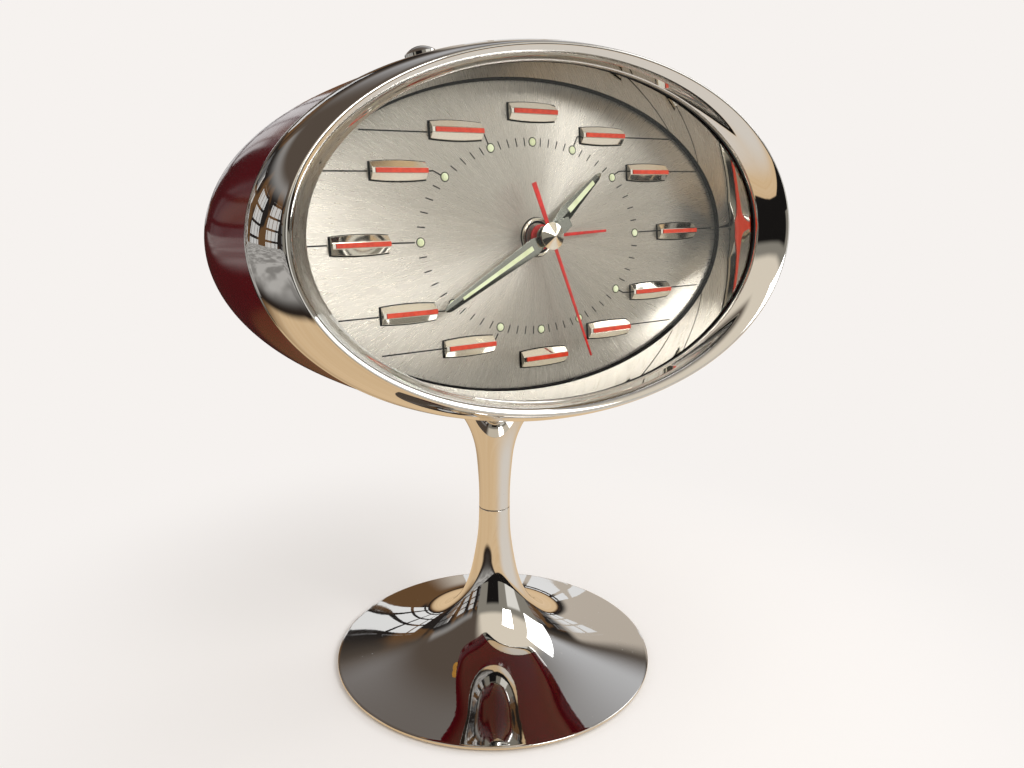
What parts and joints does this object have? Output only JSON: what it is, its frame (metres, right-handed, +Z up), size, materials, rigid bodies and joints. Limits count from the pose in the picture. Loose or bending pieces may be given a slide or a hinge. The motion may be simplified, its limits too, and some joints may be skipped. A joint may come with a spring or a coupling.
{
  "type": "table alarm clock",
  "caption": "Wind-up table alarm clock with an oval dial in a chrome bezel and dark red dome, on a chrome trumpet stand.",
  "frame": {"origin": "centre of the round base on the table", "axes": "+Z up, the dial faces -Y, +X to the right of a person who reads the dial"},
  "size_m": [0.1554, 0.0962, 0.1762],
  "materials": {
    "chrome": "mirror polished",
    "burgundy_plastic": "glossy",
    "glass": "clear",
    "dial_silver": "sunray brushed",
    "marker_chrome": "polished",
    "orange_paint": "satin",
    "red_paint": "satin",
    "lume": "matt",
    "hand_chrome": "polished",
    "steel": "turned",
    "brass": "fine brushed",
    "blued_steel": "blued",
    "black_rubber": "matt",
    "black_plastic": "satin",
    "cover_plastic": "fine grain",
    "felt": "felt",
    "cast_iron": "rough"
  },
  "bodies": {
    "stand_and_case": {"base_trumpet": "chrome", "base_felt": "felt", "base_ballast": "cast_iron", "upper_stem": "chrome", "tie_rod": "steel", "clamp_washer": "steel", "tie_rod_nuts": "steel", "saddle": "black_plastic", "rear_shell": "burgundy_plastic", "bezel": "chrome", "crystal": "glass", "crystal_gasket": "black_rubber", "reflector_ring": "chrome", "dial_plate": "dial_silver", "dial_collar": "marker_chrome", "hour_markers": "marker_chrome", "marker_stripes": "orange_paint", "lume_dots": "lume", "front_plate": "brass", "back_plate": "brass", "plate_pillars": "brass", "plate_screws": "steel", "movement_screws": "steel", "centre_bridge": "brass", "mainsprings": "blued_steel", "hairspring": "blued_steel", "alarm_bell": "steel", "bell_post": "steel", "rear_cover": "cover_plastic", "cover_screws": "steel", "button_spring": "steel"},
    "seconds_train": {"seconds_wheel": "brass", "second_hand": "hand_chrome", "hand_cap": "hand_chrome"},
    "third_train": {"third_wheel": "brass"},
    "minute_train": {"centre_wheel": "brass", "cannon_pinion": "steel", "minute_hand": "hand_chrome", "minute_hand_lume": "lume"},
    "great_train": {"great_wheel": "brass"},
    "time_setting": {"minute_wheel": "brass", "time_set_knob": "black_plastic"},
    "hour_train": {"hour_wheel": "brass", "hour_hand": "hand_chrome", "hour_hand_lume": "lume"},
    "escape_train": {"escape_wheel": "brass"},
    "lever": {"pallet_lever": "steel"},
    "balance": {"balance_wheel": "brass"},
    "time_winding": {"winding_arbor": "steel", "winding_key": "brass"},
    "alarm_setting": {"alarm_set_knob": "black_plastic"},
    "alarm_indicator": {"alarm_wheel": "brass", "alarm_hand": "red_paint"},
    "alarm_great_train": {"alarm_great_wheel": "brass"},
    "alarm_escape_train": {"alarm_escape_wheel": "brass"},
    "alarm_winding": {"alarm_winding_arbor": "steel", "alarm_winding_key": "brass"},
    "hammer": {"alarm_hammer": "steel"},
    "speed_index": {"regulator": "steel"},
    "stop_button": {"alarm_stop_button": "chrome"}
  },
  "joints": [
    {"name": "seconds_spin", "type": "hinge", "parent": "stand_and_case", "child": "seconds_train", "pos_m": [0, 0.00057, 0.12784], "axis": [0, 0.9936, -0.1132], "continuous": true},
    {"name": "third_spin", "type": "hinge", "parent": "stand_and_case", "child": "third_train", "pos_m": [-0.01122, 0.0013, 0.13427], "axis": [0, 0.9936, -0.1132], "continuous": true},
    {"name": "minute_spin", "type": "hinge", "parent": "stand_and_case", "child": "minute_train", "pos_m": [0, 0.00057, 0.12784], "axis": [0, 0.9936, -0.1132], "continuous": true},
    {"name": "great_spin", "type": "hinge", "parent": "stand_and_case", "child": "great_train", "pos_m": [0.02019, 0.00017, 0.1243], "axis": [0, 0.9936, -0.1132], "continuous": true},
    {"name": "time_set_spin", "type": "hinge", "parent": "stand_and_case", "child": "time_setting", "pos_m": [0, -0.00106, 0.11353], "axis": [0, 0.9936, -0.1132], "continuous": true},
    {"name": "hour_spin", "type": "hinge", "parent": "stand_and_case", "child": "hour_train", "pos_m": [0, 0.00057, 0.12784], "axis": [0, 0.9936, -0.1132], "continuous": true},
    {"name": "escape_spin", "type": "hinge", "parent": "stand_and_case", "child": "escape_train", "pos_m": [0.00648, 0.00184, 0.13899], "axis": [0, 0.9936, -0.1132], "continuous": true},
    {"name": "lever_rock", "type": "hinge", "parent": "stand_and_case", "child": "lever", "pos_m": [0.0109, 0.00226, 0.14267], "axis": [0, 0.9936, -0.1132], "range_deg": [-8, 8]},
    {"name": "balance_swing", "type": "hinge", "parent": "stand_and_case", "child": "balance", "pos_m": [0.02178, 0.00284, 0.14771], "axis": [0, 0.9936, -0.1132], "range_deg": [-220, 220], "stiffness_Nm_per_rad": 0.000011},
    {"name": "time_winding_turn", "type": "hinge", "parent": "stand_and_case", "child": "time_winding", "pos_m": [0.02019, 0.00017, 0.1243], "axis": [0, 0.9936, -0.1132], "range_deg": [0, 1440]},
    {"name": "alarm_set_spin", "type": "hinge", "parent": "stand_and_case", "child": "alarm_setting", "pos_m": [-0.0118, -0.00036, 0.11963], "axis": [0, 0.9936, -0.1132], "continuous": true},
    {"name": "alarm_indicator_spin", "type": "hinge", "parent": "stand_and_case", "child": "alarm_indicator", "pos_m": [0, 0.00057, 0.12784], "axis": [0, 0.9936, -0.1132], "continuous": true},
    {"name": "alarm_great_spin", "type": "hinge", "parent": "stand_and_case", "child": "alarm_great_train", "pos_m": [-0.034, -0.00033, 0.11989], "axis": [0, 0.9936, -0.1132], "continuous": true},
    {"name": "alarm_escape_spin", "type": "hinge", "parent": "stand_and_case", "child": "alarm_escape_train", "pos_m": [-0.03695, 0.00156, 0.13652], "axis": [0, 0.9936, -0.1132], "continuous": true},
    {"name": "alarm_winding_turn", "type": "hinge", "parent": "stand_and_case", "child": "alarm_winding", "pos_m": [-0.034, -0.00033, 0.11989], "axis": [0, 0.9936, -0.1132], "range_deg": [0, 1440]},
    {"name": "hammer_swing", "type": "hinge", "parent": "stand_and_case", "child": "hammer", "pos_m": [-0.038, 0.00272, 0.14671], "axis": [0, 0.9936, -0.1132], "range_deg": [-5, 2.5]},
    {"name": "speed_index_turn", "type": "hinge", "parent": "stand_and_case", "child": "speed_index", "pos_m": [0.02178, 0.00284, 0.14771], "axis": [0, 0.9936, -0.1132], "range_deg": [-12, 12]},
    {"name": "stop_button_press", "type": "slide", "parent": "stand_and_case", "child": "stop_button", "axis": [-0.2031, 0.1108, 0.9729], "range_m": [-0.0016, 0], "stiffness_N_per_m": 600, "deforming": ["button_spring"]}
  ],
  "couplings": [
    {"joint": "third_spin", "follows": "seconds_spin", "ratio": -0.13333},
    {"joint": "minute_spin", "follows": "seconds_spin", "ratio": 0.016667},
    {"joint": "great_spin", "follows": "seconds_spin", "ratio": -0.0023148},
    {"joint": "time_set_spin", "follows": "seconds_spin", "ratio": -0.0055556},
    {"joint": "hour_spin", "follows": "seconds_spin", "ratio": 0.0013889},
    {"joint": "escape_spin", "follows": "seconds_spin", "ratio": -8},
    {"joint": "alarm_set_spin", "follows": "alarm_indicator_spin", "ratio": -4},
    {"joint": "alarm_escape_spin", "follows": "alarm_great_spin", "ratio": -7.5}
  ]
}
